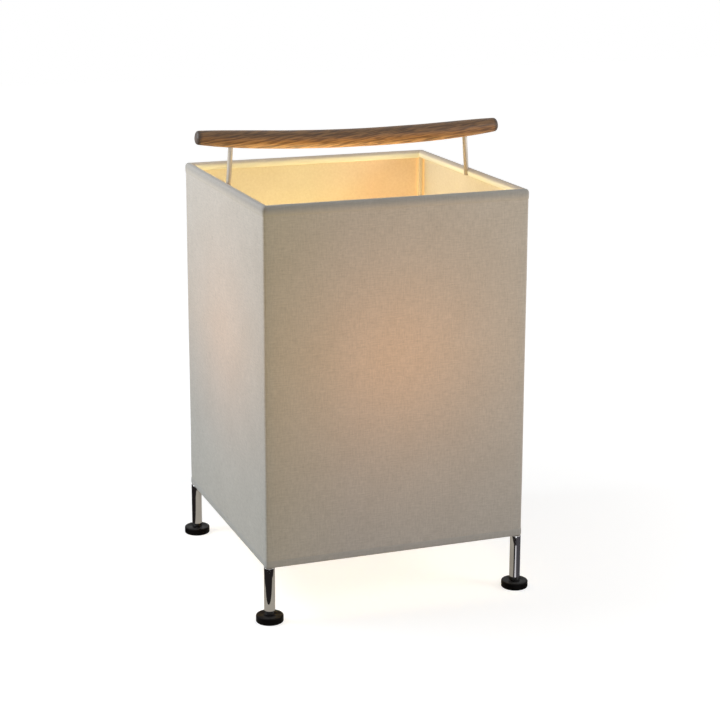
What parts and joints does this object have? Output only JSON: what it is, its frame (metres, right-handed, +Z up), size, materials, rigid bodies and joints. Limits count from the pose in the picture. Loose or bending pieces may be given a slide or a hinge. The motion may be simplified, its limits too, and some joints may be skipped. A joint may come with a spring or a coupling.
{
  "type": "table lamp",
  "caption": "Square fabric-shaded table lamp standing on slim chromed legs with round black feet, carried by a curved wooden handle over the open top of the shade.",
  "frame": {"origin": "on the floor under the middle of the lamp, in the plane of the feet's undersides", "axes": "+X along the handle, +Z up; the picture looks from -Y and a little from -X"},
  "size_m": [0.2978, 0.2664, 0.4276],
  "materials": {
    "shade_fabric": "fine plain weave on a stiff liner, matte",
    "edge_tape": "woven tape, matte",
    "lacquered_steel": "white lacquer, satin",
    "chrome": "polished",
    "black_plastic": "satin",
    "plated_steel": "zinc plated",
    "handle_wood": "oiled, straight grain",
    "holder_moulding": "ivory, satin gloss",
    "holder_ceramic": "glazed ceramic",
    "bushing_nylon": "natural nylon",
    "brass": "bright rolled brass",
    "opal_glass": "opal, lit",
    "clear_glass": "clear",
    "tungsten": "drawn wire",
    "black_glass": "fused black glass"
  },
  "bodies": {
    "lamp": {"shade_panel": "shade_fabric", "top_binding": "edge_tape", "bottom_binding": "edge_tape", "top_ring": "lacquered_steel", "base_frame": "lacquered_steel", "holder_crossbar": "lacquered_steel", "crossbar_screw_left": "lacquered_steel", "crossbar_screw_right": "lacquered_steel", "corner_post_front_left": "lacquered_steel", "corner_post_front_right": "lacquered_steel", "corner_post_back_left": "lacquered_steel", "corner_post_back_right": "lacquered_steel", "leg_front_left": "chrome", "leg_front_right": "chrome", "leg_back_left": "chrome", "leg_back_right": "chrome", "handle_rod_left": "chrome", "handle_rod_right": "chrome", "threaded_pipe": "plated_steel", "pipe_washer": "plated_steel", "pipe_nut": "plated_steel", "cap_nut": "plated_steel", "riser_tube": "plated_steel", "handle_bar": "handle_wood", "holder_cap": "holder_moulding", "holder_sleeve": "holder_moulding", "holder_insert": "holder_ceramic", "cord_bushing": "bushing_nylon", "screw_shell": "brass", "centre_contact": "brass"},
    "bulb": {"bulb_envelope": "opal_glass", "bulb_stem": "clear_glass", "bulb_filament": "tungsten", "bulb_cap": "brass", "bulb_insulator": "black_glass", "bulb_contact": "brass"},
    "foot_front_left": {"foot_pad_front_left": "black_plastic", "foot_stud_front_left": "plated_steel"},
    "foot_front_right": {"foot_pad_front_right": "black_plastic", "foot_stud_front_right": "plated_steel"},
    "foot_back_left": {"foot_pad_back_left": "black_plastic", "foot_stud_back_left": "plated_steel"},
    "foot_back_right": {"foot_pad_back_right": "black_plastic", "foot_stud_back_right": "plated_steel"}
  },
  "joints": [
    {"name": "bulb_unscrew", "type": "slide", "parent": "lamp", "child": "bulb", "axis": [0, 0, 1], "range_m": [0, 0.03]},
    {"name": "foot_front_left_adjust", "type": "slide", "parent": "lamp", "child": "foot_front_left", "axis": [0, 0, -1], "range_m": [0, 0.006]},
    {"name": "foot_front_right_adjust", "type": "slide", "parent": "lamp", "child": "foot_front_right", "axis": [0, 0, -1], "range_m": [0, 0.006]},
    {"name": "foot_back_left_adjust", "type": "slide", "parent": "lamp", "child": "foot_back_left", "axis": [0, 0, -1], "range_m": [0, 0.006]},
    {"name": "foot_back_right_adjust", "type": "slide", "parent": "lamp", "child": "foot_back_right", "axis": [0, 0, -1], "range_m": [0, 0.006]}
  ]
}
